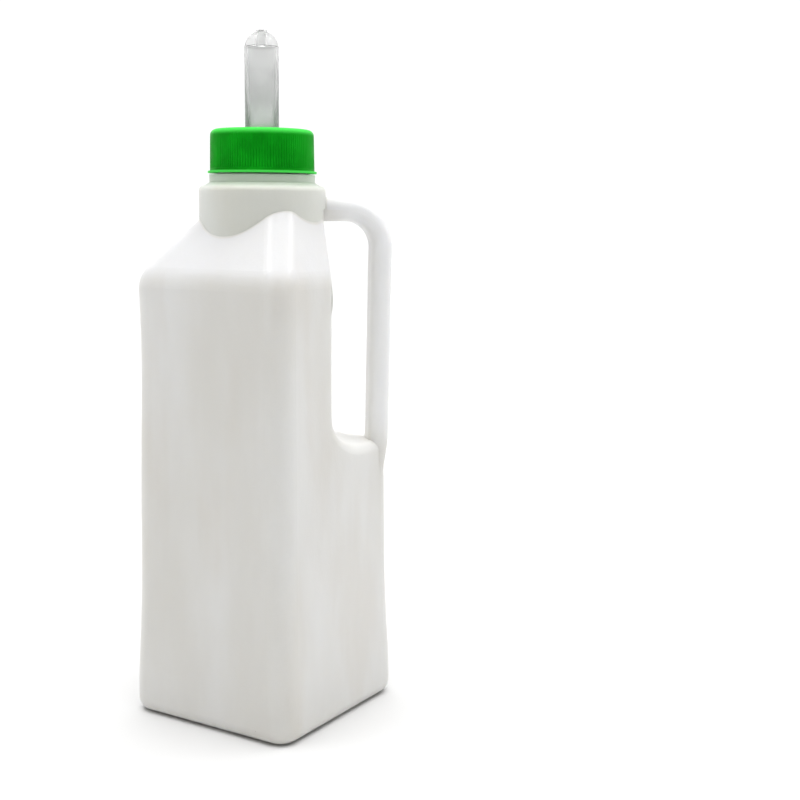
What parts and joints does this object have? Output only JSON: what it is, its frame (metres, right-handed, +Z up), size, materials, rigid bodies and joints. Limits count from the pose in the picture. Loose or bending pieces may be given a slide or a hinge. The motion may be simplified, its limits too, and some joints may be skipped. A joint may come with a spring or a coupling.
{
  "type": "calf feeding bottle",
  "caption": "Square milk bottle with a hollow corner handle, a screw cap, a rubber nipple and an air valve, for feeding calves.",
  "frame": {"origin": "centre of the base, on the axis of the neck", "axes": "+Z up along the neck axis; +X from the neck axis to the corner with the handle; the air valve is on the -Y side of the flat face behind the handle"},
  "size_m": [0.1526, 0.1526, 0.3974],
  "materials": {
    "shell_hdpe": "natural milky polyethylene, soft satin",
    "cap_green": "moulded polypropylene, semi-gloss",
    "silicone": "clear silicone, satin",
    "valve_plastic": "translucent moulded plastic",
    "valve_rubber": "soft translucent silicone"
  },
  "bodies": {
    "bottle": {"bottle": "shell_hdpe", "valve_seat": "valve_plastic"},
    "nipple": {"nipple": "silicone"},
    "cap": {"screw_cap": "cap_green"},
    "valve_flap": {"valve_flap": "valve_rubber"}
  },
  "joints": [
    {"name": "cap_lift", "type": "slide", "parent": "bottle", "child": "nipple", "axis": [0, 0, 1], "range_m": [0, 0.0085]},
    {"name": "cap_turn", "type": "hinge", "parent": "nipple", "child": "cap", "pos_m": [0, 0, 0.33], "axis": [0, 0, 1], "range_deg": [0, 720]},
    {"name": "valve_open", "type": "slide", "parent": "bottle", "child": "valve_flap", "axis": [-1, 0, 0], "range_m": [0, 0.001], "stiffness_N_per_m": 20}
  ],
  "couplings": [
    {"joint": "cap_lift", "follows": "cap_turn", "m_per_rad": 0.00066845}
  ]
}
